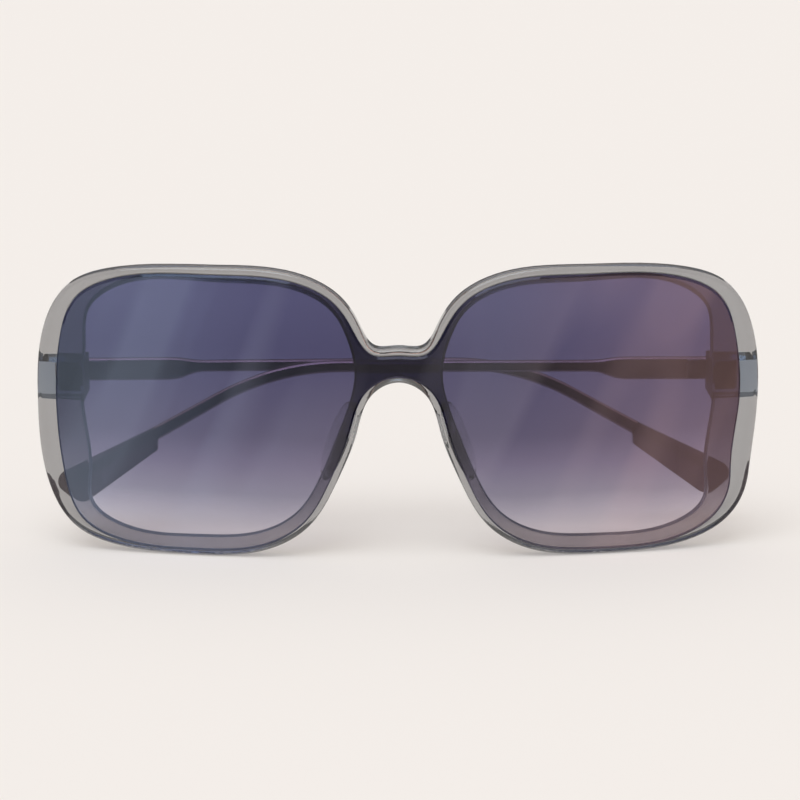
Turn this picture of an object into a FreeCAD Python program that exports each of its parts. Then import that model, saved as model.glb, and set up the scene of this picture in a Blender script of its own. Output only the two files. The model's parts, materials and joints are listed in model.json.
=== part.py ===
# Oversized sunglasses with a one-piece lens laid over a clear front, folded, in millimetres.
# The glasses face -Y with the brow up (+Z), and the origin is the nose saddle under the bridge.
# Left and right are the wearer's: the left temple is on +X. It folds first, and the right one lies over it.
import FreeCAD, Part
import math
import os

Vector = FreeCAD.Vector

# Front
frame_width = 147.0
brow_rise = 23.0
rim_drop = 37.0
bridge_height = 7.1
bridge_top_half = 4.6
bridge_gap = 17.6
front_thickness = 4.2
base_curve = 260.0
rim_round = 0.9
front_round = 0.8

# Outline of one half: shares of half the width, and of the brow rise or the rim drop
brow_shares = [
    (0.113, 0.543),
    (0.170, 0.778),
    (0.270, 0.939),
    (0.500, 1.000),
    (0.764, 0.955),
    (0.908, 0.775),
    (0.981, 0.348),
]
cheek_shares = [
    (1.000, 0.162),
    (0.982, 0.595),
    (0.905, 0.873),
    (0.770, 0.976),
    (0.568, 1.000),
    (0.365, 0.957),
    (0.247, 0.816),
    (0.169, 0.559),
    (0.114, 0.281),
    (0.076, 0.078),
]
nose_bow_share = 0.21

# Clear rim left outside the lens
lens_rim_side = 4.0
lens_rim_top = 1.5
lens_rim_low = 1.2
lens_rim_nose = 1.5

# Whole rim between the outer edge and the eye opening
eye_rim_side = 9.3
eye_rim_top = 3.2
eye_rim_low = 3.5
eye_rim_nose = 3.3

# Lens
lens_thickness = 2.0
lens_seat_depth = 1.5
lens_fit = 0.06
lens_bevel = 0.4

# Nose pads
pad_length = 18.0
pad_base_width = 3.0
pad_crest_length = 13.5
pad_crest_width = 1.8
pad_depth = 4.8
pad_splay = 2.3
pad_drop = 13.0
pad_reach = 11.0
pad_lean = 20.0
pad_round = 0.8
pad_glue = 0.03

# Endpiece behind the rim, which carries the hinge
temple_inset = 2.5
hinge_drop = 2.8
hinge_set_back = 8.8
pantoscopic_tilt = 6.0
endpiece_inset = 0.3
endpiece_root = 0.7
endpiece_wall = 0.5
endpiece_brow = 1.3
endpiece_cheek = 0.5
endpiece_bevel = 0.7

# Hinge
barrel_count = 5
barrel_radius = 1.3
barrel_height = 1.15
barrel_gap = 0.06
joint_gap = 0.2
leaf_thickness = 1.0
front_leaf_length = 3.5
front_leaf_toe = 0.8
leaf_fit = 0.04
temple_leaf_length = 6.0
temple_leaf_height = 3.8
pivot_radius = 0.7
pivot_fit = 0.03
pivot_head_radius = 1.15
pivot_head_height = 0.6
slot_width = 0.35
slot_depth = 0.3

# Small screws that hold the front leaf
leaf_screw_radius = 0.42
leaf_screw_length = 2.4
leaf_screw_head_radius = 0.75
leaf_screw_head_height = 0.45

# Temple bar
bar_thickness = 1.5
bar_root_height = 4.7
bar_shaft_height = 2.4
bar_end_height = 2.75
bar_shoulder = 0.65
bar_neck_start = 20.0
bar_neck_length = 8.0
bar_bevel = 0.4
bend_start = 79.8
bend_radius = 54.0
bend_angle = 28.5
shaft_after_bend = 16.0
tenon_length = 17.0
tenon_height = 1.5
tenon_thickness = 1.0

# Acetate tip
tip_length = 23.5
tip_thickness = 3.0
tip_start_height = 4.6
tip_end_rise = 1.1
tip_end_drop = 7.1
tip_end_slant = 3.2
tip_step = 1.1
tip_corner = 2.4
tip_round = 0.7
tip_fit = 0.05

# Folding: how far the left temple turns, and the room between it and the right one, which lies over it
fold_angle = 90.0
fold_clearance = 0.2

# Every cut runs past its piece by the overrun, edges are picked to within the match, and a closed
# outline is made of several edges
overrun = 5.0
match = 0.01
outline_pieces = 8

# Worked out from the sizes above
half_width = frame_width / 2
front_y = -front_thickness / 2
curve_axis_y = front_y + base_curve
wrap = base_curve - math.sqrt(base_curve**2 - half_width**2)
clear_radius = barrel_radius + joint_gap
bar_outer = clear_radius + bar_thickness
bar_middle = clear_radius + bar_thickness / 2
stack_height = barrel_count * barrel_height + (barrel_count - 1) * barrel_gap
hinge_x = half_width - temple_inset - bar_outer
hinge_sag = base_curve - math.sqrt(base_curve**2 - hinge_x**2)
hinge_y = front_y + hinge_sag + front_thickness + hinge_set_back
hinge_point = Vector(hinge_x, hinge_y, -hinge_drop)
shaft_top = bar_root_height / 2 - bar_shoulder
level_reach = bend_start + math.sqrt(bend_radius**2 - (bend_radius - bar_root_height) ** 2)
fold_lead = math.degrees(math.asin((bar_thickness + fold_clearance) / (2 * hinge_x - level_reach)))
bend_turn = math.radians(bend_angle)
bend_centre = Vector(0, bend_start, shaft_top - bend_radius)
slope = Vector(0, math.cos(bend_turn), -math.sin(bend_turn))
slope_up = Vector(0, math.sin(bend_turn), math.cos(bend_turn))
tip_root = bend_centre + slope_up * bend_radius + slope * shaft_after_bend
origin = Vector(0, 0, 0)
x_axis = Vector(1, 0, 0)
y_axis = Vector(0, 1, 0)
z_axis = Vector(0, 0, 1)


def half_outline():
    """Points of the outer edge on +X, from the bridge's top round to the saddle under it."""
    points = [(0, bridge_height), (bridge_top_half, bridge_height)]
    points += [(x * half_width, z * brow_rise) for x, z in brow_shares]
    points += [(x * half_width, -z * rim_drop) for x, z in cheek_shares]
    return points + [(0, 0)]


def whole(points):
    """A half outline and its mirror image, as one loop that starts at the side."""
    loop = points + [(-x, z) for x, z in reversed(points[1:-1])]
    start = len(points) // 2
    return loop[start:] + loop[:start]


def closed_curve(points):
    """One smooth closed curve in the XZ plane through the points."""
    curve = Part.BSplineCurve()
    curve.interpolate([Vector(x, 0, z) for x, z in points], PeriodicFlag=True)
    return curve


def inset(side, top, low, nose, less=0):
    """The outer edge's points moved in by a width that follows which way the edge faces."""
    points = half_outline()
    curve = closed_curve(whole(points))
    moved = []
    for x, z in points:
        along = curve.tangent(curve.parameter(Vector(x, 0, z)))[0]
        out = Vector(-along.z, 0, along.x)
        across = side if out.x > 0 else nose
        upright = top if out.z > 0 else low
        width = math.hypot(across * out.x, upright * out.z) - less
        moved.append((x - width * out.x, z - width * out.z))
    return moved


def lens_outline(fit=0):
    """Loop of the lens, or of its seat with the fit added."""
    return whole(inset(lens_rim_side, lens_rim_top, lens_rim_low, lens_rim_nose, fit))


def eye_outline():
    """Loop of the eye opening on +X: the rim's inside, and a bowed nose side."""
    points = inset(eye_rim_side, eye_rim_top, eye_rim_low, eye_rim_nose)[2:-2]
    return points + [(bridge_gap / 2, nose_bow_share * bridge_height)]


def prism(points):
    """A closed outline, in several edges, drawn out along Y through the whole front."""
    curve = closed_curve(points)
    step = (curve.LastParameter - curve.FirstParameter) / outline_pieces
    stops = [curve.FirstParameter + i * step for i in range(outline_pieces + 1)]
    edges = [curve.toShape(start, end) for start, end in zip(stops, stops[1:])]
    face = Part.Face(Part.Wire(edges))
    face.translate(Vector(0, front_y - overrun, 0))
    return face.extrude(Vector(0, wrap + front_thickness + overrun + overrun, 0))


def curved_core(depth):
    """Everything behind the curved surface that lies this deep under the front face."""
    foot = Vector(0, curve_axis_y, -rim_drop - overrun)
    return Part.makeCylinder(base_curve - depth, rim_drop + brow_rise + overrun + overrun, foot)


def curved_sheet(shallow, deep):
    """A sheet between two depths under the front face."""
    return curved_core(shallow).cut(curved_core(deep))


def edges_at(shape, depth):
    """Edges that lie all along one depth under the front face."""
    found = []
    for edge in shape.Edges:
        first, last = edge.ParameterRange
        places = [edge.valueAt(p) for p in (first, (first + last) / 2, last)]
        radii = [math.hypot(p.x, p.y - curve_axis_y) for p in places]
        if all(abs(r - (base_curve - depth)) < match for r in radii):
            found.append(edge)
    return found


def box(u0, u1, v0, v1, w0, w1):
    """A block between two corners."""
    return Part.makeBox(u1 - u0, v1 - v0, w1 - w0, Vector(u0, v0, w0))


def mirrored(shape):
    """The same piece on the wearer's other side."""
    return shape.mirror(origin, x_axis)


def seat(shape):
    """Takes a piece from the hinge's own frame to its place on the front."""
    placed = shape.copy()
    placed.rotate(origin, x_axis, -pantoscopic_tilt)
    placed.translate(hinge_point)
    return placed


def fold(shape, angle):
    """Turns an open temple's piece inwards about the hinge line."""
    turned = shape.copy()
    turned.rotate(origin, z_axis, angle)
    return turned


def endpiece():
    """Level block behind the rim, bevelled along its outer edges, its rear face square to the temple."""
    low = -stack_height / 2 - endpiece_cheek
    high = stack_height / 2 + endpiece_brow
    reach = hinge_set_back + front_thickness + overrun
    inner = -front_leaf_length - endpiece_wall
    outer = half_width - endpiece_inset - hinge_x
    block = box(inner, outer, -reach, reach, low, high)
    outer_edges = [e for e in block.Edges if e.BoundBox.YLength > reach and e.BoundBox.XMin > inner + match]
    block = block.makeChamfer(endpiece_bevel, outer_edges)
    block.translate(hinge_point)
    behind = box(inner - overrun, outer + overrun, -clear_radius, reach + overrun, low - reach, high + reach)
    return block.cut(seat(behind))


def front_frame():
    """Clear front: a curved plate with two eye openings, the lens's seat and an endpiece at each side."""
    rim = prism(whole(half_outline())).common(curved_sheet(0, front_thickness))
    rim = rim.makeFillet(front_round, edges_at(rim, 0))
    eye = prism(eye_outline())
    rim = rim.cut([eye, mirrored(eye)])
    rim = rim.makeFillet(rim_round, edges_at(rim, front_thickness))
    rim = rim.cut(prism(lens_outline(lens_fit)).common(curved_sheet(-overrun, lens_seat_depth)))
    pocket = seat(leaf_plate(leaf_fit).fuse(leaf_screws(leaf_fit)))
    block = endpiece().common(curved_core(lens_seat_depth + endpiece_root))
    return rim.fuse([block, mirrored(block)]).cut([pocket, mirrored(pocket)])


def shield_lens():
    """One lens across both eyes and the bridge, bevelled round its front edge."""
    back = lens_seat_depth - lens_fit
    proud = lens_thickness - back
    lens = prism(lens_outline()).common(curved_sheet(-proud, back))
    return lens.makeChamfer(lens_bevel, edges_at(lens, -proud))


def pad_ring(length, width, shift, depth):
    """An ellipse across the pad, leaning along the nose side of the rim."""
    ellipse = Part.Ellipse(origin, length / 2, width / 2).toShape()
    ellipse.rotate(origin, x_axis, 90)
    ellipse.rotate(origin, y_axis, 90 - pad_lean)
    ellipse.translate(Vector(pad_reach + shift, front_y + depth, -pad_drop))
    return Part.Wire(ellipse)


def nose_pad(front):
    """Built-up pad behind the nose side of the rim, splayed outwards and glued to the front."""
    crest = front_thickness + pad_depth
    rings = [
        pad_ring(pad_length, pad_base_width, 0, front_thickness - rim_round),
        pad_ring(pad_crest_length, pad_crest_width, pad_splay, crest - pad_round),
        pad_ring(pad_crest_length - 2 * pad_round, pad_crest_width - pad_round, pad_splay, crest),
    ]
    pad = max(Part.makeLoft(rings, True).cut(front).Solids, key=lambda solid: solid.Volume)
    pad.translate(Vector(0, pad_glue, 0))
    return pad


def knuckles(first):
    """Lower and upper end of every second barrel of the hinge, counted from the top."""
    pitch = barrel_height + barrel_gap
    tops = [stack_height / 2 - i * pitch for i in range(first, barrel_count, 2)]
    return [(top - barrel_height, top) for top in tops]


def with_knuckles(leaf, spans, web):
    """Adds barrels on the hinge line, each with its web to the leaf, and drills them for the pivot."""
    for low, high in spans:
        barrel = Part.makeCylinder(barrel_radius, high - low, Vector(0, 0, low))
        leaf = leaf.fuse([barrel, box(*web, low, high)])
    foot = Vector(0, 0, -stack_height / 2 - overrun)
    hole = Part.makeCylinder(pivot_radius + pivot_fit, stack_height + overrun + overrun, foot)
    return leaf.cut(hole).removeSplitter()


def leaf_plate(fit=0):
    """Plate of the front leaf, or the pocket in the endpiece's rear face that takes it."""
    rear = -clear_radius + (overrun if fit else 0)
    half_height = stack_height / 2 + fit
    deep = -clear_radius - leaf_thickness - fit
    return box(-front_leaf_length - fit, front_leaf_toe + fit, deep, rear, -half_height, half_height)


def leaf_screws(fit=0):
    """The two countersunk screws that hold the front leaf, or their holes."""
    made = []
    middle = (barrel_radius + front_leaf_length) / 2
    for height in (-stack_height / 4, stack_height / 4):
        top = Vector(-middle, -clear_radius, height)
        head_radius = leaf_screw_head_radius + fit
        radius = leaf_screw_radius + fit
        head = Part.makeCone(head_radius, radius, leaf_screw_head_height, top, -y_axis)
        shank = Part.makeCylinder(radius, leaf_screw_length + fit, top, -y_axis)
        made.append(head.fuse(shank).removeSplitter())
    return made


def hinge_front_leaf():
    """Front leaf: a plate let into the endpiece, with the top, middle and bottom knuckles."""
    web = (-barrel_radius, front_leaf_toe, -clear_radius - leaf_thickness, 0)
    return with_knuckles(leaf_plate(), knuckles(0), web).cut(leaf_screws(leaf_fit))


def hinge_temple_leaf():
    """Temple leaf: a plate on the bar's inner side, with the two knuckles between the front leaf's."""
    inner = clear_radius - leaf_thickness
    half_height = temple_leaf_height / 2
    end = clear_radius + temple_leaf_length
    plate = box(inner, clear_radius, clear_radius, end, -half_height, half_height)
    return with_knuckles(plate, knuckles(1), (inner, clear_radius, 0, clear_radius))


def hinge_pivot_screw():
    """Pivot through all five knuckles, with a slotted head on the top one."""
    top = stack_height / 2
    shank = Part.makeCylinder(pivot_radius, stack_height, Vector(0, 0, -top))
    head = Part.makeCylinder(pivot_head_radius, pivot_head_height, Vector(0, 0, top))
    reach = pivot_head_radius + overrun
    floor = top + pivot_head_height - slot_depth
    slot = box(-reach, reach, -slot_width / 2, slot_width / 2, floor, floor + overrun)
    return shank.fuse(head).cut(slot).removeSplitter()


def on_slope(along, up):
    """A point of the tip's side view: along the slope from the tip's root, and up from its top edge."""
    return tip_root + slope * along + slope_up * up


def drawn_out(edges, middle, thickness):
    """A side view drawn out sideways, half its thickness each way from the middle."""
    face = Part.Face(Part.Wire(edges))
    face.translate(Vector(middle - thickness / 2, 0, 0))
    return face.extrude(Vector(thickness, 0, 0))


def side_edges(shape):
    """Edges round the two flat sides of a drawn-out piece."""
    return [e for e in shape.Edges if e.BoundBox.XLength < match]


def neck(start, end):
    """S-shaped edge between two level edges."""
    halfway = (start.y + end.y) / 2
    curve = Part.BezierCurve()
    curve.setPoles([start, Vector(0, halfway, start.z), Vector(0, halfway, end.z), end])
    return curve.toShape()


def bend_arc(radius):
    """Arc of the bar's downward bend, from the level part to the slope."""
    ends = [bend_centre + z_axis * radius, bend_centre + slope_up * radius]
    half_turn = bend_turn / 2
    halfway = bend_centre + Vector(0, math.sin(half_turn), math.cos(half_turn)) * radius
    return Part.Arc(ends[0], halfway, ends[1]).toShape()


def tenon(fit=0):
    """Thin end of the bar inside the tip, or the slot that takes it."""
    level = -bar_end_height / 2
    half_height = tenon_height / 2 + fit
    near = -overrun if fit else -tip_fit
    far = tenon_length + fit
    corners = [
        on_slope(near, level - half_height),
        on_slope(far, level - half_height),
        on_slope(far, level + half_height),
        on_slope(near, level + half_height),
    ]
    outline = Part.makePolygon(corners + corners[:1])
    return drawn_out(outline.Edges, bar_middle, tenon_thickness + fit + fit)


def temple_bar():
    """Flat metal bar: a deep root at the hinge, a slim shaft, the bend behind the ear and a tenon."""
    butt = -clear_radius + joint_gap
    neck_end = bar_neck_start + bar_neck_length
    high = bar_root_height / 2
    shaft_low = shaft_top - bar_shaft_height
    top_arc = bend_arc(bend_radius)
    low_arc = bend_arc(bend_radius - bar_shaft_height)
    butt_high = Vector(0, butt, high)
    butt_low = Vector(0, butt, -high)
    neck_top = neck(Vector(0, bar_neck_start, high), Vector(0, neck_end, shaft_top))
    neck_low = neck(Vector(0, bar_neck_start, -high), Vector(0, neck_end, shaft_low))
    end_high = on_slope(0, 0)
    end_low = on_slope(0, -bar_end_height)
    edges = [
        Part.makeLine(butt_high, Vector(0, bar_neck_start, high)),
        neck_top,
        Part.makeLine(Vector(0, neck_end, shaft_top), Vector(0, bend_start, shaft_top)),
        top_arc,
        Part.makeLine(bend_centre + slope_up * bend_radius, end_high),
        Part.makeLine(end_high, end_low),
        Part.makeLine(end_low, bend_centre + slope_up * (bend_radius - bar_shaft_height)),
        low_arc,
        Part.makeLine(Vector(0, bend_start, shaft_low), Vector(0, neck_end, shaft_low)),
        neck_low,
        Part.makeLine(Vector(0, bar_neck_start, -high), butt_low),
        Part.makeLine(butt_low, butt_high),
    ]
    bar = drawn_out(Part.__sortEdges__(edges), bar_middle, bar_thickness)
    bar = bar.makeChamfer(bar_bevel, side_edges(bar))
    return bar.fuse(tenon()).removeSplitter()


def temple_tip():
    """Acetate paddle over the tenon, stepped down below the bar and flaring towards its slanted end."""
    corners = [
        on_slope(0, 0),
        on_slope(tip_length, tip_end_rise),
        on_slope(tip_length - tip_end_slant, -tip_end_drop),
        on_slope(tip_step, -tip_start_height),
        on_slope(0, -bar_end_height),
    ]
    tip = drawn_out(Part.makePolygon(corners + corners[:1]).Edges, bar_middle, tip_thickness)
    far = on_slope(tip_length / 2, 0).y
    end_edges = [e for e in tip.Edges if e.BoundBox.XLength > match and e.BoundBox.YMin > far]
    tip = tip.makeFillet(tip_corner, end_edges)
    tip = tip.makeFillet(tip_round, side_edges(tip))
    return tip.cut(tenon(tip_fit))


def temple_pieces():
    """The pieces that swing together, open, in the hinge's frame."""
    return {
        "temple_bar": temple_bar(),
        "temple_tip": temple_tip(),
        "hinge_temple_leaf": hinge_temple_leaf(),
    }


def fixed_pieces():
    """The pieces of one hinge that stay on the front, in the hinge's frame."""
    return {
        "hinge_front_leaf": hinge_front_leaf(),
        "hinge_leaf_screws": Part.makeCompound(leaf_screws()),
        "hinge_pivot_screw": hinge_pivot_screw(),
    }


def build():
    """Every piece of the folded glasses, by its name."""
    front = front_frame()
    pad = nose_pad(front)
    pieces = {
        "front_frame": front,
        "shield_lens": shield_lens(),
        "nose_pad_left": pad,
        "nose_pad_right": mirrored(pad),
    }
    for name, shape in fixed_pieces().items():
        pieces[name + "_left"] = seat(shape)
        pieces[name + "_right"] = mirrored(seat(shape))
    for name, shape in temple_pieces().items():
        pieces[name + "_left"] = seat(fold(shape, fold_angle))
        pieces[name + "_right"] = mirrored(seat(fold(shape, fold_angle - fold_lead)))
    return pieces


os.makedirs("parts", exist_ok=True)
for piece_name, piece in build().items():
    piece.exportStep(f"parts/{piece_name}.step")
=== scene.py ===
"""Looks of a folded pair of oversized sunglasses: finishes, slotted leaf screws, pale studio and camera."""

import json
import logging
import math
from dataclasses import dataclass
from enum import Enum
from typing import Any

import bmesh
import bpy
import numpy as np
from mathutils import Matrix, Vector


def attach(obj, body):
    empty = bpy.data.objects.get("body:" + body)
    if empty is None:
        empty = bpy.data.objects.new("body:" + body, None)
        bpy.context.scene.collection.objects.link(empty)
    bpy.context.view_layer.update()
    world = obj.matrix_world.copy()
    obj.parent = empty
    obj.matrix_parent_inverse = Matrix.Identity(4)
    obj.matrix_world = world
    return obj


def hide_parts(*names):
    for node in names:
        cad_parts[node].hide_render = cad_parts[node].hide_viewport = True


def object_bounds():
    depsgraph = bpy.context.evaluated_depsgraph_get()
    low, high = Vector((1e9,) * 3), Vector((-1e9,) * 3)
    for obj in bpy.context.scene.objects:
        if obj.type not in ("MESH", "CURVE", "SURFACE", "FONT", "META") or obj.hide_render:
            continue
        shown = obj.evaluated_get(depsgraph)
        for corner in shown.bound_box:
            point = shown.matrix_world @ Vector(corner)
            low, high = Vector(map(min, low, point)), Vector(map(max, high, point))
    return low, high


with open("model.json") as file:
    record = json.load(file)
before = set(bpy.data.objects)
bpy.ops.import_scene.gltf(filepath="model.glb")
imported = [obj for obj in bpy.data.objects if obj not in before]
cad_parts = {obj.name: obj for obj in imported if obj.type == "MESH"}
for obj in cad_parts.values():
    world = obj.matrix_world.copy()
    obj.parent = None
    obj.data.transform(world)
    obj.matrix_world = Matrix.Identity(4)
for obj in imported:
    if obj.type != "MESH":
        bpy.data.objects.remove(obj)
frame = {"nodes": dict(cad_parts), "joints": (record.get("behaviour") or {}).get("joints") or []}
cad_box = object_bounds()

log = logging.getLogger("sunglasses")
MM = 0.001
# Points closer than this are one point, and edges turned by more than this stay sharp
JOIN = 0.001 * MM
SHARP = math.radians(30.0)
# Octaves of a noise texture
SMOOTH, SOFT, CLOUDED, FINE = 1.0, 2.0, 3.0, 4.0

Range = tuple[float, float]
Stops = tuple[tuple[float, str], ...]
Tree = bpy.types.NodeTree
Socket = bpy.types.NodeSocket


class Side(Enum):
    """The wearer's sides, with the sign of X on each."""

    LEFT = 1
    RIGHT = -1

    @property
    def label(self) -> str:
        """The side's name as it ends a node's name."""
        return self.name.lower()


def linear(colour: str) -> tuple[float, float, float, float]:
    """Turns an sRGB hex colour into linear light.

    Args:
        colour: six hex digits, such as "f2ece7".

    Returns:
        Red, green, blue and an alpha of 1.
    """
    shares = [int(colour[i : i + 2], 16) / 255 for i in (0, 2, 4)]
    red, green, blue = (s / 12.92 if s <= 0.04045 else ((s + 0.055) / 1.055) ** 2.4 for s in shares)
    return red, green, blue, 1.0


def add_node(
    tree: Tree,
    kind: str,
    inputs: dict[str | int, Any] | None = None,
    stops: Stops = (),
    **settings: Any,
) -> bpy.types.Node:
    """Adds one node with its settings, socket values, links and colour stops.

    Args:
        tree: the node tree.
        kind: the node's type name.
        inputs: socket name or number to a value, or to an output socket to link from.
        stops: shares from 0 to 1, rising, each with its sRGB colour, for a node that has a ramp.
        settings: properties of the node.

    Returns:
        The new node.
    """
    node = tree.nodes.new(kind)
    for name, value in settings.items():
        setattr(node, name, value)
    for number, (share, colour) in enumerate(stops):
        elements = node.color_ramp.elements
        element = elements[number] if number < len(elements) else elements.new(share)
        element.position = share
        element.color = linear(colour)
    for name, value in (inputs or {}).items():
        if isinstance(value, Socket):
            tree.links.new(value, node.inputs[name])
        else:
            node.inputs[name].default_value = value
    return node


def per_metre(size_mm: float) -> float:
    """Texture scale whose features are about this many millimetres apart."""
    return 1.0 / (size_mm * MM)


def new_material(name: str) -> tuple[bpy.types.Material, Tree, Socket]:
    """Starts a node material.

    Args:
        name: the material's name.

    Returns:
        The material, its emptied tree and the Object coordinates.
    """
    material = bpy.data.materials.new(name)
    material.use_nodes = True
    material.node_tree.nodes.clear()
    place = add_node(material.node_tree, "ShaderNodeTexCoord").outputs["Object"]
    return material, material.node_tree, place


@dataclass(frozen=True)
class AcetateFinish:
    """Cellulose acetate sheet, milled and tumble polished: dyed all through, softly wavy from the tumbling.

    The dye is what white light keeps after the depth given, so edges that are looked along show deeper than a
    plate. The polish is the least roughness, and the dulling how many times that the greatest is.
    """

    name: str
    dye: str
    depth_mm: float
    clear: str
    cloudy: str
    polish: float
    cloud_mm: float
    wave_mm: float
    see_through: float = 1.0
    ior: float = 1.48
    dulling: float = 2.5
    wave_strength: float = 0.06
    wave_height_mm: float = 0.2

    def absorption(self) -> tuple[float, tuple[float, float, float, float]]:
        """Works out the dye in the sheet's depth: along a way w each colour fades as exp(-rate * w).

        Returns:
            The density and the colour of the absorbing volume.
        """
        rates = -np.log(linear(self.dye)[:3]) / (self.depth_mm * MM)
        kept = 1.0 - rates / rates.max()
        return float(rates.max()), (*kept.tolist(), 1.0)

    def material(self) -> bpy.types.Material:
        """Makes the clear plastic, its surface a little cloudy in places.

        Returns:
            The material.
        """
        material, tree, place = new_material(self.name)
        cloud = add_node(
            tree,
            "ShaderNodeTexNoise",
            {"Vector": place, "Scale": per_metre(self.cloud_mm), "Detail": CLOUDED},
        )
        tint = add_node(
            tree,
            "ShaderNodeMix",
            {"Factor": cloud.outputs["Fac"], "A": linear(self.cloudy), "B": linear(self.clear)},
            data_type="RGBA",
        )
        gloss = add_node(
            tree,
            "ShaderNodeMapRange",
            {"Value": cloud.outputs["Fac"], "To Min": self.polish, "To Max": self.polish * self.dulling},
        )
        wave = add_node(
            tree,
            "ShaderNodeTexNoise",
            {"Vector": place, "Scale": per_metre(self.wave_mm), "Detail": SMOOTH},
        )
        bump = add_node(
            tree,
            "ShaderNodeBump",
            {
                "Height": wave.outputs["Fac"],
                "Strength": self.wave_strength,
                "Distance": self.wave_height_mm * MM,
            },
        )
        colour, roughness = self.skin(tree, place, tint.outputs["Result"], gloss.outputs["Result"])
        shader = add_node(
            tree,
            "ShaderNodeBsdfPrincipled",
            {
                "Base Color": colour,
                "Roughness": roughness,
                "Normal": bump.outputs["Normal"],
                "IOR": self.ior,
                "Transmission Weight": self.see_through,
            },
        )
        density, kept = self.absorption()
        dye = add_node(tree, "ShaderNodeVolumeAbsorption", {"Color": kept, "Density": density})
        add_node(
            tree,
            "ShaderNodeOutputMaterial",
            {"Surface": shader.outputs["BSDF"], "Volume": dye.outputs["Volume"]},
        )
        return material

    def skin(self, tree: Tree, place: Socket, tint: Socket, gloss: Socket) -> tuple[Socket, Socket]:
        """What the surface lets through and how rough it is; plain sheet is the same all over.

        Args:
            tree: the node tree.
            place: the Object coordinates.
            tint: the sheet's own colour.
            gloss: the polished sheet's roughness.

        Returns:
            The colour and the roughness.
        """
        return tint, gloss


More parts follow.
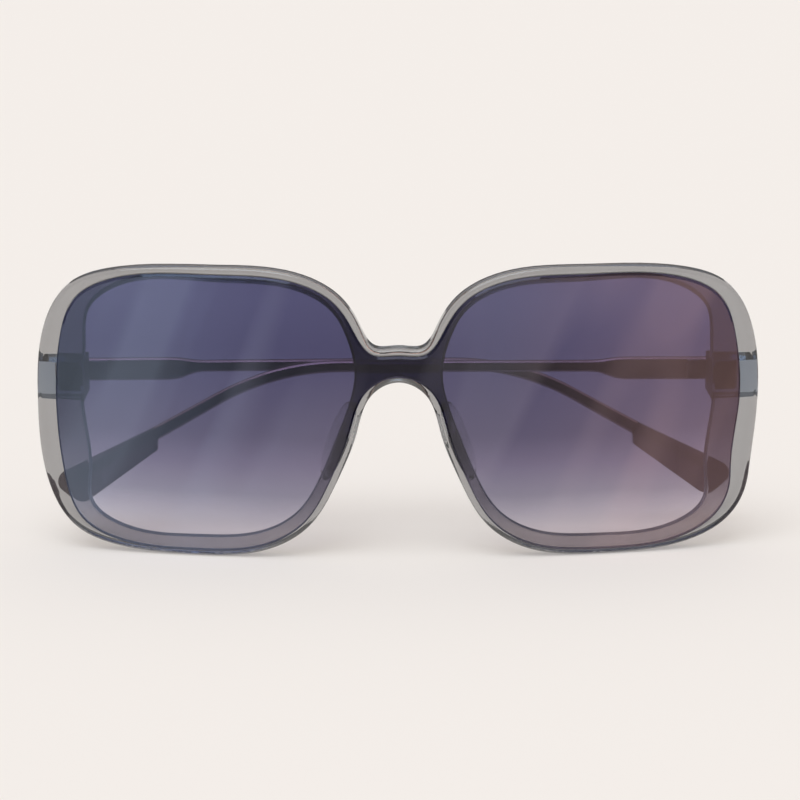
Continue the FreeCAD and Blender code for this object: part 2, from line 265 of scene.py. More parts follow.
@dataclass(frozen=True)
class RimAcetateFinish(AcetateFinish):
    """Sheet for the front: the openings' walls are matt and carry a painted shade, and the bridge's lens bed
    carries a painted shade.

    Places are in millimetres: the middle of an opening across and up, which its walls face; how far a wall's
    normal goes towards it, from no wall to all; the bed's depth at the nose; how far from that depth and from
    the middle of the bridge its colour goes, and how squarely it faces forwards, each from full colour to
    none; and the radius of the front's curve.
    """

    # Painted shade: the dark blue grey laid on the openings' walls
    wall: str = "4f566c"
    wall_roughness: float = 0.5
    eye_mm: tuple[float, float] = (37.0, -8.0)
    wall_way_mm: Range = (12.0, 18.0)
    # Painted shade: the near black navy laid on the lens's bed at the bridge
    bed: str = "16163a"
    bed_mm: float = -0.6
    bed_reach_mm: Range = (0.4, 0.9)
    bed_facing: Range = (0.9, 0.6)
    bridge_mm: Range = (9.0, 17.0)
    wrap_mm: float = 260.0

    def skin(self, tree: Tree, place: Socket, tint: Socket, gloss: Socket) -> tuple[Socket, Socket]:
        """Paints shade on the lens's bed on the bridge, and paints shade on the openings' walls and roughens
        them.

        Args:
            tree: the node tree.
            place: the Object coordinates.
            tint: the sheet's own colour.
            gloss: the polished sheet's roughness.

        Returns:
            The colour and the roughness.
        """
        # The lens's bed on the bridge takes its painted shade
        sheet = add_node(
            tree,
            "ShaderNodeMix",
            {"Factor": self.bedded(tree, place), "A": tint, "B": linear(self.bed)},
            data_type="RGBA",
        )
        # The walls' share lays on the painted shade and the matt roughness
        wall = self.walls(tree, place)
        skin = add_node(
            tree,
            "ShaderNodeMix",
            {"Factor": wall, "A": sheet.outputs["Result"], "B": linear(self.wall)},
            data_type="RGBA",
        )
        milled = add_node(
            tree,
            "ShaderNodeMapRange",
            {"Value": wall, "To Min": gloss, "To Max": self.wall_roughness},
        )
        return skin.outputs["Result"], milled.outputs["Result"]

    def bedded(self, tree: Tree, place: Socket) -> Socket:
        """How far a place is the lens's bed on the bridge, where shade is painted: in the middle, at its
        depth, facing forwards.

        The bed is curved, so at x it lies x^2 / (2 * radius) further to the rear than at the nose.

        Args:
            tree: the node tree.
            place: the Object coordinates.

        Returns:
            The share, 1 on the bed.
        """
        axes = add_node(tree, "ShaderNodeSeparateXYZ", {"Vector": place}).outputs
        square = add_node(tree, "ShaderNodeMath", {0: axes["X"], 1: axes["X"]}, operation="MULTIPLY")
        level = add_node(
            tree,
            "ShaderNodeMath",
            {0: square.outputs["Value"], 1: -0.5 * per_metre(self.wrap_mm), 2: axes["Y"]},
            operation="MULTIPLY_ADD",
        )
        off = add_node(
            tree,
            "ShaderNodeMath",
            {0: level.outputs["Value"], 1: self.bed_mm * MM},
            operation="SUBTRACT",
        )
        normal = add_node(tree, "ShaderNodeNewGeometry").outputs["True Normal"]
        facing = add_node(tree, "ShaderNodeSeparateXYZ", {"Vector": normal})
        share: float | Socket = 1.0
        for value, (full, none), unit in (
            (axes["X"], self.bridge_mm, MM),
            (off.outputs["Value"], self.bed_reach_mm, MM),
            (facing.outputs["Y"], self.bed_facing, 1.0),
        ):
            size = add_node(tree, "ShaderNodeMath", {0: value}, operation="ABSOLUTE")
            step = add_node(
                tree,
                "ShaderNodeMapRange",
                {"Value": size.outputs["Value"], "From Min": none * unit, "From Max": full * unit},
                interpolation_type="SMOOTHSTEP",
            )
            both = add_node(
                tree,
                "ShaderNodeMath",
                {0: share, 1: step.outputs["Result"]},
                operation="MULTIPLY",
            )
            share = both.outputs["Value"]
        return share

    def walls(self, tree: Tree, place: Socket) -> Socket:
        """How far a place is an opening's wall, where shade is painted: the way to the middle goes well along
        the place's normal.

        The way to the middle and the normal are mirrored to the wearer's left side first, by the sign of x. A
        wall that is met from inside the sheet has its normal turned round again.

        Args:
            tree: the node tree.
            place: the Object coordinates.

        Returns:
            The share, 1 on a wall.
        """
        x = add_node(tree, "ShaderNodeSeparateXYZ", {"Vector": place}).outputs["X"]
        sign = add_node(tree, "ShaderNodeMath", {0: x}, operation="SIGN")
        mirror = add_node(
            tree,
            "ShaderNodeCombineXYZ",
            {"X": sign.outputs["Value"], "Y": 0.0, "Z": 1.0},
        ).outputs["Vector"]
        across, up = self.eye_mm
        side = add_node(tree, "ShaderNodeVectorMath", {0: place, 1: mirror}, operation="MULTIPLY")
        way = add_node(
            tree,
            "ShaderNodeVectorMath",
            {0: (across * MM, 0.0, up * MM), 1: side.outputs["Vector"]},
            operation="SUBTRACT",
        )
        surface = add_node(tree, "ShaderNodeNewGeometry").outputs
        turned = add_node(
            tree,
            "ShaderNodeVectorMath",
            {0: surface["Normal"], 1: mirror},
            operation="MULTIPLY",
        )
        towards = add_node(
            tree,
            "ShaderNodeVectorMath",
            {0: way.outputs["Vector"], 1: turned.outputs["Vector"]},
            operation="DOT_PRODUCT",
        )
        outward = add_node(
            tree,
            "ShaderNodeMapRange",
            {"Value": surface["Backfacing"], "To Min": 1.0, "To Max": -1.0},
        )
        facing = add_node(
            tree,
            "ShaderNodeMath",
            {0: towards.outputs["Value"], 1: outward.outputs["Result"]},
            operation="MULTIPLY",
        )
        none, full = self.wall_way_mm
        share = add_node(
            tree,
            "ShaderNodeMapRange",
            {"Value": facing.outputs["Value"], "From Min": none * MM, "From Max": full * MM},
        )
        return share.outputs["Result"]


@dataclass(frozen=True)
class LensFinish:
    """Nylon lens, dip dyed: the tint fades from brow to cheek, under a coat whose reflection is painted
    stronger towards the sides.

    Each dye stop is a height in millimetres from the saddle and what one face of the lens lets through. The
    dye's level is uneven by the height given. Each coat stop is a place across the lens, from the wearer's
    right to left, and the colour of the painted reflection there. The painted bands are slanting painted
    reflections laid over the coat: their size across and along, their lean in degrees, where they begin and
    the noise from no band to a full one. The coat goes from none to all as a face turns more squarely to the
    front.
    """

    name: str
    dye: Stops
    # Colours of the painted reflection across the lens
    coat: Stops
    polish: float
    # Painted reflection's share at the sides, and where it grows
    bloom: float
    bloom_mm: Range
    # Painted reflection bands: their share, size, lean, start and noise
    wipe: float
    wipe_mm: tuple[float, float]
    wipe_lean: float
    wipe_start_mm: float
    wipe_noise: Range
    coated_facing: Range = (0.8, 0.94)
    dulling: float = 3.0
    scuff_mm: float = 2.0
    uneven_mm: float = 30.0
    uneven_height_mm: float = 3.0
    ior: float = 1.5

    def material(self) -> bpy.types.Material:
        """Makes a see-through tint by height, with the coat's reflection over it, its strength and colour by
        place a painted reflection.

        The tint doesn't bend light, so a face that is met from inside the lens would mirror far too much at a
        slant, and mirrors nothing instead.

        Returns:
            The material.
        """
        material, tree, place = new_material(self.name)
        axes = add_node(tree, "ShaderNodeSeparateXYZ", {"Vector": place})
        uneven = add_node(
            tree,
            "ShaderNodeTexNoise",
            {"Vector": place, "Scale": per_metre(self.uneven_mm), "Detail": SOFT},
        )
        level = add_node(
            tree,
            "ShaderNodeMath",
            {0: uneven.outputs["Fac"], 1: self.uneven_height_mm * MM, 2: axes.outputs["Z"]},
            operation="MULTIPLY_ADD",
        )
        dyed = self.coloured(tree, level.outputs["Value"], self.dye)
        tint = add_node(tree, "ShaderNodeBsdfTransparent", {"Color": dyed})
        scuff = add_node(
            tree,
            "ShaderNodeTexNoise",
            {"Vector": place, "Scale": per_metre(self.scuff_mm), "Detail": FINE},
        )
        gloss = add_node(
            tree,
            "ShaderNodeMapRange",
            {"Value": scuff.outputs["Fac"], "To Min": self.polish, "To Max": self.polish * self.dulling},
        )
        # Painted reflection: the coat's colour changes across the lens
        colour = self.coloured(tree, axes.outputs["X"], self.coat)
        coat = add_node(
            tree,
            "ShaderNodeBsdfGlossy",
            {"Color": colour, "Roughness": gloss.outputs["Result"]},
        )
        bare = add_node(tree, "ShaderNodeFresnel", {"IOR": self.ior}).outputs["Fac"]
        mirrored = add_node(
            tree,
            "ShaderNodeMath",
            {0: self.coat_share(tree, place, axes.outputs["X"]), 1: bare},
            operation="ADD",
        )
        inside = add_node(tree, "ShaderNodeNewGeometry").outputs["Backfacing"]
        outside = add_node(tree, "ShaderNodeMath", {0: 1.0, 1: inside}, operation="SUBTRACT")
        shown = add_node(
            tree,
            "ShaderNodeMath",
            {0: mirrored.outputs["Value"], 1: outside.outputs["Value"]},
            operation="MULTIPLY",
        )
        shader = add_node(
            tree,
            "ShaderNodeMixShader",
            {0: shown.outputs["Value"], 1: tint.outputs["BSDF"], 2: coat.outputs["BSDF"]},
        )
        add_node(tree, "ShaderNodeOutputMaterial", {"Surface": shader.outputs["Shader"]})
        return material

    def coloured(self, tree: Tree, along: Socket, stops: Stops) -> Socket:
        """Colours by a place in metres.

        Args:
            tree: the node tree.
            along: the place.
            stops: places in millimetres, rising, each with its colour.

        Returns:
            The colour.
        """
        low, high = stops[0][0], stops[-1][0]
        share = add_node(
            tree,
            "ShaderNodeMapRange",
            {"Value": along, "From Min": low * MM, "From Max": high * MM},
        )
        shares = tuple(((place - low) / (high - low), colour) for place, colour in stops)
        ramp = add_node(tree, "ShaderNodeValToRGB", {"Fac": share.outputs["Result"]}, shares)
        return ramp.outputs["Color"]

    def coat_share(self, tree: Tree, place: Socket, x: Socket) -> Socket:
        """What the coat mirrors, all painted reflection: a share that grows to the sides, and broad slanting
        bands.

        The bevel round the lens is cut through the coat, so it has none.

        Args:
            tree: the node tree.
            place: the Object coordinates.
            x: the place across the lens.

        Returns:
            The share mirrored.
        """
        out = add_node(tree, "ShaderNodeMath", {0: x}, operation="ABSOLUTE")
        # Painted reflection, growing towards the sides
        inner, outer = self.bloom_mm
        bloom = add_node(
            tree,
            "ShaderNodeMapRange",
            {
                "Value": out.outputs["Value"],
                "From Min": inner * MM,
                "From Max": outer * MM,
                "To Max": self.bloom,
            },
            interpolation_type="SMOOTHSTEP",
        )
        # Painted reflection in slanting bands across the lens
        across, along = self.wipe_mm
        turned = add_node(
            tree,
            "ShaderNodeMapping",
            {
                "Vector": place,
                "Location": (self.wipe_start_mm * MM, 0.0, 0.0),
                "Rotation": (0.0, math.radians(self.wipe_lean), 0.0),
                "Scale": (across * MM, along * MM, along * MM),
            },
            vector_type="TEXTURE",
        )
        bands = add_node(
            tree,
            "ShaderNodeTexNoise",
            {"Vector": turned.outputs["Vector"], "Scale": 1.0, "Detail": SMOOTH},
        )
        none, full = self.wipe_noise
        share = add_node(
            tree,
            "ShaderNodeMapRange",
            {"Value": bands.outputs["Fac"], "From Min": none, "From Max": full, "To Max": self.wipe},
        )
        both = add_node(
            tree,
            "ShaderNodeMath",
            {0: bloom.outputs["Result"], 1: share.outputs["Result"]},
            operation="ADD",
        )
        normal = add_node(tree, "ShaderNodeNewGeometry").outputs["True Normal"]
        facing = add_node(tree, "ShaderNodeSeparateXYZ", {"Vector": normal})
        flat = add_node(tree, "ShaderNodeMath", {0: facing.outputs["Y"]}, operation="ABSOLUTE")
        bare, coated = self.coated_facing
        left = add_node(
            tree,
            "ShaderNodeMapRange",
            {"Value": flat.outputs["Value"], "From Min": bare, "From Max": coated},
        )
        mirrored = add_node(
            tree,
            "ShaderNodeMath",
            {0: both.outputs["Value"], 1: left.outputs["Result"]},
            operation="MULTIPLY",
        )
        return mirrored.outputs["Value"]


@dataclass(frozen=True)
class MetalFinish:
    """Plated or stainless metal with fine lines from polishing along X, brighter on its upper edges from wear
    and a painted highlight.

    The lines are real at about a tenth of the spacing given: they are drawn as coarse as they need to show.
    The edge colour, worn plating with a painted highlight, goes from none to full over a range of how far
    round an edge a place is, and over a range of how far it faces up, where an edge that faces down keeps the
    share given.
    """

    name: str
    colour: str
    worn_colour: str
    edge_colour: str
    roughness: Range
    line_mm: float
    line_length_mm: float
    edge_mm: float
    line_strength: float = 0.1
    line_depth_mm: float = 0.02
    edge_samples: int = 6
    rub_round: Range = (0.06, 0.18)
    rub_up: Range = (-0.5, 0.5)
    rub_under: float = 0.25

    def material(self) -> bpy.types.Material:
        """Makes the metal, its colour and gloss varied along the polishing lines.

        Returns:
            The material.
        """
        material, tree, place = new_material(self.name)
        across = per_metre(self.line_mm)
        along = per_metre(self.line_length_mm)
        stretch = add_node(
            tree,
            "ShaderNodeMapping",
            {"Vector": place, "Scale": (along, across, across)},
        )
        lines = add_node(
            tree,
            "ShaderNodeTexNoise",
            {"Vector": stretch.outputs["Vector"], "Scale": 1.0, "Detail": FINE},
        )
        plate = add_node(
            tree,
            "ShaderNodeMix",
            {"Factor": lines.outputs["Fac"], "A": linear(self.colour), "B": linear(self.worn_colour)},
            data_type="RGBA",
        )
        rounded = add_node(
            tree,
            "ShaderNodeBevel",
            {"Radius": self.edge_mm * MM},
            samples=self.edge_samples,
        ).outputs["Normal"]
        # Painted highlight with wear: the upper edges take the edge colour
        tint = add_node(
            tree,
            "ShaderNodeMix",
            {
                "Factor": self.rubbed(tree, rounded),
                "A": plate.outputs["Result"],
                "B": linear(self.edge_colour),
            },
            data_type="RGBA",
        )
        smooth, rough = self.roughness
        gloss = add_node(
            tree,
            "ShaderNodeMapRange",
            {"Value": lines.outputs["Fac"], "To Min": smooth, "To Max": rough},
        )
        bump = add_node(
            tree,
            "ShaderNodeBump",
            {
                "Height": lines.outputs["Fac"],
                "Strength": self.line_strength,
                "Distance": self.line_depth_mm * MM,
                "Normal": rounded,
            },
        )
        shader = add_node(
            tree,
            "ShaderNodeBsdfPrincipled",
            {
                "Base Color": tint.outputs["Result"],
                "Roughness": gloss.outputs["Result"],
                "Normal": bump.outputs["Normal"],
                "Metallic": 1.0,
            },
        )
        add_node(tree, "ShaderNodeOutputMaterial", {"Surface": shader.outputs["BSDF"]})
        return material

    def rubbed(self, tree: Tree, rounded: Socket) -> Socket:
        """How far a place takes the edge colour, wear and painted highlight: most halfway round an edge of a
        flat side, where it faces up.

        With y the piece's own part of the normal towards its flat sides, y^2 * (1 - y^2) is a quarter halfway
        round an edge and nothing on the sides.

        Args:
            tree: the node tree.
            rounded: the normal with the edges rounded.

        Returns:
            The share, 1 at the full edge colour.
        """
        own = add_node(
            tree,
            "ShaderNodeVectorTransform",
            {"Vector": rounded},
            vector_type="NORMAL",
            convert_from="WORLD",
            convert_to="OBJECT",
        )
        axes = add_node(tree, "ShaderNodeSeparateXYZ", {"Vector": own.outputs["Vector"]}).outputs
        flat = add_node(tree, "ShaderNodeMath", {0: axes["Y"], 1: axes["Y"]}, operation="MULTIPLY")
        other = add_node(tree, "ShaderNodeMath", {0: 1.0, 1: flat.outputs["Value"]}, operation="SUBTRACT")
        halfway = add_node(
            tree,
            "ShaderNodeMath",
            {0: flat.outputs["Value"], 1: other.outputs["Value"]},
            operation="MULTIPLY",
        )
        plain, rubbed = self.rub_round
        edge = add_node(
            tree,
            "ShaderNodeMapRange",
            {"Value": halfway.outputs["Value"], "From Min": plain, "From Max": rubbed},
        )
        under, above = self.rub_up
        share = add_node(
            tree,
            "ShaderNodeMapRange",
            {"Value": axes["Z"], "From Min": under, "From Max": above, "To Min": self.rub_under},
        )
        both = add_node(
            tree,
            "ShaderNodeMath",
            {0: edge.outputs["Result"], 1: share.outputs["Result"]},
            operation="MULTIPLY",
        )
        return both.outputs["Value"]


# Pale grey sheet: a plate dims what is behind it by the dye near its faces, and deep edges show blue grey;
# the openings' walls are darker still by a painted shade
CLEAR_ACETATE = RimAcetateFinish(
    "grey acetate, tumble polished",
    dye="d7dfe9",
    depth_mm=4.2,
    clear="ccc5be",
    cloudy="c5beb7",
    polish=0.012,
    cloud_mm=25.0,
    wave_mm=9.0,
)
# The pads are cut from water clear sheet and glued on, so they hardly bend what shows through them
PAD_ACETATE = AcetateFinish(
    "water clear acetate, tumble polished",
    dye="eef0f2",
    depth_mm=4.2,
    clear="fbfbfa",
    cloudy="f6f6f5",
    polish=0.006,
    cloud_mm=12.0,
    wave_mm=24.0,
    ior=1.3,
)
# The tips' sheet is denser and a little milky, so the metal inside shows only as a faint shadow
SMOKE_ACETATE = AcetateFinish(
    "smoke acetate, tumble polished",
    dye="a89ea2",
    depth_mm=3.0,
    clear="a1929a",
    cloudy="95868e",
    polish=0.02,
    cloud_mm=12.0,
    wave_mm=6.0,
    see_through=0.62,
)
# The dye is deepest at the brow and nearly gone at the cheek; the coat's painted reflection shows blue and
# rose towards the sides, with slanting painted bands
GRADIENT_LENS = LensFinish(
    "nylon lens, gradient dyed and flash coated",
    dye=(
        (-30.0, "ece9ee"),
        (-26.4, "dcdae3"),
        (-21.9, "c0becb"),
        (-15.7, "aea9bc"),
        (-9.5, "9995ab"),
        (8.0, "8a89a7"),
        (18.0, "9090ae"),
    ),
    coat=(
        (-70.0, "cbe1ff"),
        (-40.0, "cbdcff"),
        (-12.0, "cbc8d9"),
        (20.0, "cbc8d6"),
        (45.0, "f0ccd0"),
        (70.0, "f9cbc8"),
    ),
    polish=0.01,
    bloom=0.06,
    bloom_mm=(20.0, 62.0),
    wipe=0.055,
    wipe_mm=(17.0, 110.0),
    wipe_lean=22.0,
    wipe_start_mm=-9.0,
    wipe_noise=(0.48, 0.58),
)
# Black nickel over steel keeps a mirror's gloss with a dark face; its rosy upper edges are mostly a painted
# highlight, with some wear
GUNMETAL = MetalFinish(
    "steel bar, black nickel plated and polished",
    colour="77767b",
    worn_colour="8b898d",
    edge_colour="f4d0bf",
    roughness=(0.16, 0.3),
    line_mm=0.25,
    line_length_mm=12.0,
    edge_mm=0.3,
)
# Barrel-tumbled stainless steel is satin all over, a little brighter on its upper edges from wear and a
# painted highlight
HINGE_STEEL = MetalFinish(
    "stainless hinge steel, tumbled",
    colour="7f7f84",
    worn_colour="95959a",
    edge_colour="c4c4c6",
    roughness=(0.28, 0.42),
    line_mm=0.3,
    line_length_mm=1.5,
    edge_mm=0.15,
)
# Turned screws are left bright, their upper edges brighter still from wear and a painted highlight
SCREW_STEEL = MetalFinish(
    "stainless screw, turned",
    colour="a4a4a8",
    worn_colour="bcbcc0",
    edge_colour="dcdcde",
    roughness=(0.2, 0.34),
    line_mm=0.2,
    line_length_mm=0.8,
    edge_mm=0.1,
)


def dress(node: str, material: bpy.types.Material) -> None:
    """Gives a carried-over solid its finish.

    Args:
        node: the solid's name.
        material: what it is made of.
    """
    for slot in frame["nodes"][node].material_slots:
        slot.material = material
    log.info("%s wears %s", node, material.name)


def grid_mesh(name: str, grids: list[tuple[np.ndarray, bool]]) -> bpy.types.Object:
    """Makes one mesh from surfaces given as grids, joined where their points meet.

    Point (i, j) of a grid makes a quad with (i, j + 1), (i + 1, j + 1) and (i + 1, j). A row or column that
    is all one point closes to a pole, and the faces are then turned outwards.

    Args:
        name: the object's name.
        grids: rows by columns by 3 in metres, each with whether its last column joins its first.

    Returns:
        The object, at the origin.
    """
    points: list[np.ndarray] = []
    quads: list[np.ndarray] = []
    for grid, closed in grids:
        rows, columns = grid.shape[:2]
        index = np.arange(rows * columns).reshape(rows, columns) + sum(map(len, points))
        right = np.roll(index, -1, axis=1) if closed else index[:, 1:]
        left = index if closed else index[:, :-1]
        quads.append(np.stack([left[:-1], right[:-1], right[1:], left[1:]], axis=-1).reshape(-1, 4))
        points.append(grid.reshape(-1, 3))
    mesh = bpy.data.meshes.new(name)
    mesh.from_pydata(np.concatenate(points), [], np.concatenate(quads))
    form = bmesh.new()
    form.from_mesh(mesh)
    bmesh.ops.remove_doubles(form, verts=form.verts, dist=JOIN)
    bmesh.ops.dissolve_degenerate(form, edges=form.edges, dist=JOIN)
    bmesh.ops.recalc_face_normals(form, faces=form.faces)
    form.to_mesh(mesh)
    form.free()
    mesh.polygons.foreach_set("use_smooth", np.ones(len(mesh.polygons), bool))
    mesh.set_sharp_from_angle(angle=SHARP)
    piece = bpy.data.objects.new(name, mesh)
    bpy.context.scene.collection.objects.link(piece)
    return piece


@dataclass
class FrontAssembly:
    """The clear front, its one-piece lens and the pads on its nose sides."""

    acetate: AcetateFinish = CLEAR_ACETATE
    pad: AcetateFinish = PAD_ACETATE
    tint: LensFinish = GRADIENT_LENS

    def dress(self) -> None:
        """Finishes the front's pieces."""
        dress("front_frame", self.acetate.material())
        dress("shield_lens", self.tint.material())
        pad = self.pad.material()
        for side in Side:
            dress(f"nose_pad_{side.label}", pad)


@dataclass
class Hinges:
    """Both five-barrel hinges, dressed, with slotted heads on the screws that hold the front leaves.

    Sizes are in millimetres and angles in degrees. A leaf screw's place is in the hinge's own frame: u out
    from the nose and v to the rear, with its level w up the hinge line, which leans back by the tilt.
    """

    steel: MetalFinish = HINGE_STEEL
    screw: MetalFinish = SCREW_STEEL
    tilt: float = 6.0
    head_radius: float = 0.75
    head_height: float = 0.45
    shank_radius: float = 0.42
    screw_length: float = 2.4
    slot_width: float = 0.24
    slot_depth: float = 0.2
    screw_place: tuple[float, float] = (-2.4, -1.5)
    screw_levels: tuple[float, float] = (-1.4975, 1.4975)
    slot_turns: tuple[float, float] = (25.0, -50.0)
    chords: int = 9
    chord_points: int = 13

    def build(self) -> None:
        """Makes the leaf screws of both sides and dresses every piece."""
        leaf = self.steel.material()
        screw = self.screw.material()
        for side in Side:
            self.leaf_screws(side, screw)
            dress(f"hinge_front_leaf_{side.label}", leaf)
            dress(f"hinge_temple_leaf_{side.label}", leaf)
            dress(f"hinge_pivot_screw_{side.label}", screw)

    def leaf_screws(self, side: Side, material: bpy.types.Material) -> None:
        """Makes one side's two screws in place of the plain ones.

        Args:
            side: which hinge.
            material: the screws' metal.
        """
        grids = []
        for level, turn in zip(self.screw_levels, self.slot_turns):
            for grid, closed in self.screw_grids():
                grids.append((self.placed(grid, side, level, turn), closed))
        piece = grid_mesh(f"slotted_leaf_screws_{side.label}", grids)
        piece.data.materials.append(material)
        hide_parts(f"hinge_leaf_screws_{side.label}")
        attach(piece, "front")
        log.info("%s wears %s", piece.name, material.name)

    def screw_grids(self) -> list[tuple[np.ndarray, bool]]:
        """One screw about its own axis, its head's face at zero and its shank below.

        The face is made of chords: at a place s across, a chord reaches sqrt(radius^2 - s^2) each way. The
        chords at the slot's edges come again at the slot's depth, drawn in as the countersink's cone is
        there. The side follows the face's edge down the cone to the shank, and the shank to the middle of its
        end.

        Returns:
            The face, and the side, which closes round.
        """
        half = self.slot_width / 2
        outside = half + (self.head_radius - half) * np.sin(np.linspace(0.0, math.pi / 2, self.chords))
        across = np.concatenate([-outside[::-1], [-half, half], outside])
        reach = np.sqrt(np.maximum(self.head_radius**2 - across**2, 0.0))
        sunk = np.zeros_like(across)
        sunk[self.chords : self.chords + 2] = self.slot_depth
        cone = 1.0 - sunk / self.head_height * (1.0 - self.shank_radius / self.head_radius)
        along = np.linspace(-1.0, 1.0, self.chord_points)
        axes = ((across * cone)[:, None], np.outer(reach * cone, along), -sunk[:, None])
        face = np.stack(np.broadcast_arrays(*axes), axis=-1)
        edge = np.concatenate([face[:, -1], face[::-1, 0]])
        out = edge[:, :2] / np.linalg.norm(edge[:, :2], axis=1, keepdims=True)
        rings = [
            np.column_stack([out * radius, np.full(len(out), -depth)])
            for radius, depth in (
                (self.shank_radius, self.head_height),
                (self.shank_radius, self.screw_length),
                (0.0, self.screw_length),
            )
        ]
        return [(face, False), (np.stack([edge, *rings]), True)]

    def placed(self, grid: np.ndarray, side: Side, level: float, turn: float) -> np.ndarray:
        """Takes a screw's points to their place: turned about its axis, set in the hinge's frame and leant.

        Args:
            grid: the points in millimetres.
            side: which hinge.
            level: the screw's height up the hinge line.
            turn: where its slot stopped, in degrees.

        Returns:
            The points in metres.
        """
        joint = f"{side.label}_temple_fold"
        pivot = next(j["pos_m"] for j in frame["joints"] if j["name"] == joint)
        spin, lean = math.radians(turn), math.radians(self.tilt)
        x, y, z = np.moveaxis(grid, -1, 0)
        u = self.screw_place[0] + x * math.cos(spin) - y * math.sin(spin)
        v = self.screw_place[1] + z
        w = level + x * math.sin(spin) + y * math.cos(spin)
        rear = v * math.cos(lean) + w * math.sin(lean)
        up = w * math.cos(lean) - v * math.sin(lean)
        return np.array(pivot) + np.stack([side.value * u, rear, up], axis=-1) * MM


@dataclass
class Temples:
    """The two folded temples: a metal bar and an acetate tip on each."""

    metal: MetalFinish = GUNMETAL
    acetate: AcetateFinish = SMOKE_ACETATE

    def dress(self) -> None:
        """Finishes the bars and tips."""
        bar = self.metal.material()
        tip = self.acetate.material()
        for side in Side:
            dress(f"temple_bar_{side.label}", bar)
            dress(f"temple_tip_{side.label}", tip)


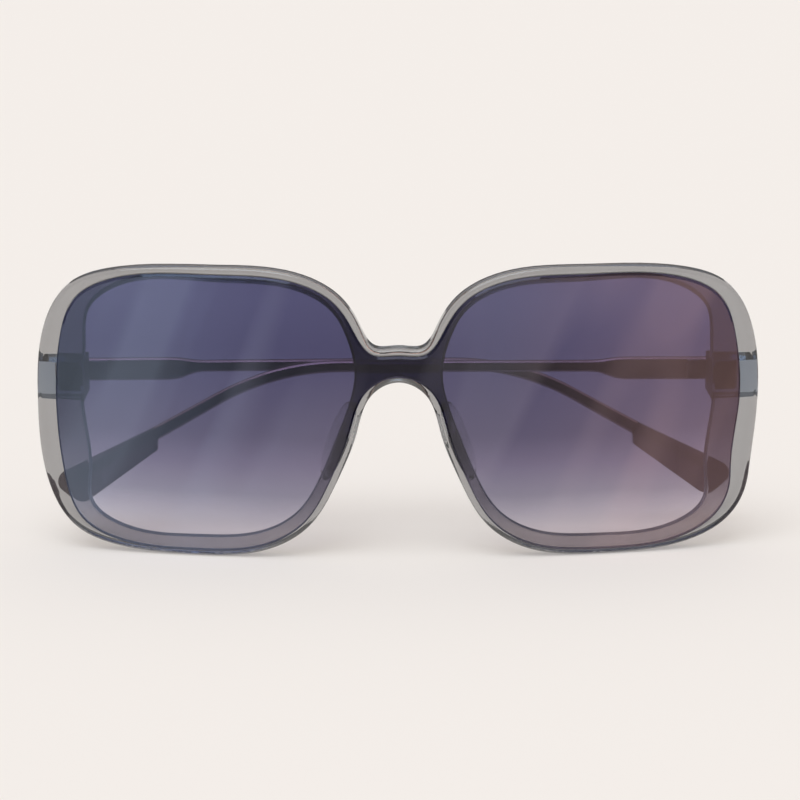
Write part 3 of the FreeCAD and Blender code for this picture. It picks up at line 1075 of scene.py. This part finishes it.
@dataclass
class Studio:
    """A pale floor under the rims, even light from all round with a soft sun, and the camera.

    Lengths are in metres, unless they are named otherwise, and angles in degrees. The floor falls to the
    rear, so that the opened pair stands on it as it would on a table, on its rims and tips.
    """

    floor_colour: str = "f2ece7"
    floor_size: float = 6.0
    floor_ticks: int = 5
    floor_fall: float = 0.05
    floor_lift: float = 0.35
    rim_gap: float = 0.05 * MM
    rim_rest: float = 1.9 * MM
    sky_colour: str = "fffaf5"
    sky_strength: Range = (0.2, 0.85)
    sky_rise: float = 0.8
    sun_colour: str = "eaf5ff"
    sun_strength: float = 1.35
    sun_spread: float = 45.0
    sun_turn: tuple[float, float] = (27.0, -25.0)
    azimuth: float = -0.6
    elevation: float = 15.0
    distance: float = 0.460
    focal_mm: float = 104.07
    sensor_mm: float = 36.0
    picture_px: float = 800.0
    saddle_px: tuple[float, float] = (398.75, 383.65)
    saddle_front: float = -2.1 * MM

    def build(self) -> None:
        """Makes the floor, the light and the camera."""
        self.lay_floor(cad_box[0].z - self.rim_gap)
        self.make_sky()
        self.hang_sun()
        self.place_camera()

    def lay_floor(self, level: float) -> None:
        """Makes the floor, a flat square grid whose height falls evenly with y.

        Args:
            level: its height in metres where the rims rest.
        """
        ticks = np.linspace(-self.floor_size / 2, self.floor_size / 2, self.floor_ticks)
        x, y = np.meshgrid(ticks, ticks)
        fallen = level - self.floor_fall * (y - self.rim_rest)
        floor = grid_mesh("floor", [(np.stack([x, y, fallen], axis=-1), False)])
        floor.data.materials.append(self.paper())

    def paper(self) -> bpy.types.Material:
        """Makes matt paper whose shadow is eased by the lift where it is seen, mirrored or looked through.

        Returns:
            The material.
        """
        material, tree, _ = new_material("pale paper sweep, matt")
        colour = linear(self.floor_colour)
        matt = add_node(tree, "ShaderNodeBsdfDiffuse", {"Color": colour})
        plain = add_node(tree, "ShaderNodeEmission", {"Color": colour})
        path = add_node(tree, "ShaderNodeLightPath").outputs
        seen = add_node(
            tree,
            "ShaderNodeMath",
            {0: path["Is Camera Ray"], 1: path["Is Glossy Ray"]},
            operation="MAXIMUM",
        )
        shown = add_node(
            tree,
            "ShaderNodeMath",
            {0: seen.outputs["Value"], 1: path["Is Transmission Ray"]},
            operation="MAXIMUM",
        )
        share = add_node(
            tree,
            "ShaderNodeMath",
            {0: shown.outputs["Value"], 1: self.floor_lift},
            operation="MULTIPLY",
        )
        both = add_node(
            tree,
            "ShaderNodeMixShader",
            {0: share.outputs["Value"], 1: matt.outputs["BSDF"], 2: plain.outputs["Emission"]},
        )
        add_node(tree, "ShaderNodeOutputMaterial", {"Surface": both.outputs["Shader"]})
        return material

    def make_sky(self) -> None:
        """Lights the scene from all round, dimmer at the horizon than overhead, and full from the rise on.

        The camera sees the floor's colour beyond the floor's edge.
        """
        world = bpy.data.worlds.new("studio")
        world.use_nodes = True
        tree = world.node_tree
        tree.nodes.clear()
        way = add_node(tree, "ShaderNodeTexCoord").outputs["Generated"]
        rise = add_node(tree, "ShaderNodeSeparateXYZ", {"Vector": way}).outputs["Z"]
        horizon, overhead = self.sky_strength
        level = add_node(
            tree,
            "ShaderNodeMapRange",
            {"Value": rise, "From Max": self.sky_rise, "To Min": horizon, "To Max": overhead},
            interpolation_type="SMOOTHSTEP",
        )
        sky = add_node(
            tree,
            "ShaderNodeBackground",
            {"Color": linear(self.sky_colour), "Strength": level.outputs["Result"]},
        )
        beyond = add_node(tree, "ShaderNodeBackground", {"Color": linear(self.floor_colour)})
        seen = add_node(tree, "ShaderNodeLightPath").outputs["Is Camera Ray"]
        both = add_node(
            tree,
            "ShaderNodeMixShader",
            {0: seen, 1: sky.outputs["Background"], 2: beyond.outputs["Background"]},
        )
        add_node(tree, "ShaderNodeOutputWorld", {"Surface": both.outputs["Shader"]})
        bpy.context.scene.world = world

    def hang_sun(self) -> None:
        """Makes one wide soft sun, high in front and to the wearer's right."""
        sun = bpy.data.lights.new("sun", "SUN")
        sun.energy = self.sun_strength
        sun.color = linear(self.sun_colour)[:3]
        sun.angle = math.radians(self.sun_spread)
        lamp = bpy.data.objects.new("sun", sun)
        tilt, turn = self.sun_turn
        lamp.rotation_euler = (math.radians(tilt), 0.0, math.radians(turn))
        bpy.context.scene.collection.objects.link(lamp)

    def place_camera(self) -> None:
        """Makes the camera so that the saddle's front falls on its pixel of the picture."""
        turn, rise = math.radians(self.azimuth), math.radians(self.elevation)
        level = math.cos(rise)
        back = Vector((math.sin(turn) * level, -math.cos(turn) * level, math.sin(rise)))
        rotation = (-back).to_track_quat("-Z", "Y")
        per_pixel = self.distance * self.sensor_mm / self.focal_mm / self.picture_px
        across = (self.picture_px / 2 - self.saddle_px[0]) * per_pixel
        down = (self.picture_px / 2 - self.saddle_px[1]) * per_pixel
        apex = Vector((0.0, self.saddle_front, 0.0))
        aim = apex + rotation @ Vector((across, -down, 0.0))
        data = bpy.data.cameras.new("camera")
        data.lens = self.focal_mm
        data.sensor_width = self.sensor_mm
        camera = bpy.data.objects.new("camera", data)
        camera.rotation_mode = "QUATERNION"
        camera.rotation_quaternion = rotation
        camera.location = aim + back * self.distance
        bpy.context.scene.collection.objects.link(camera)
        bpy.context.scene.camera = camera


def main() -> None:
    """Dresses every piece and sets up the studio."""
    logging.basicConfig(level=logging.INFO, format="%(message)s")
    bpy.context.scene.view_settings.view_transform = "Standard"
    FrontAssembly().dress()
    Hinges().build()
    Temples().dress()
    Studio().build()


if __name__ == "__main__":
    main()
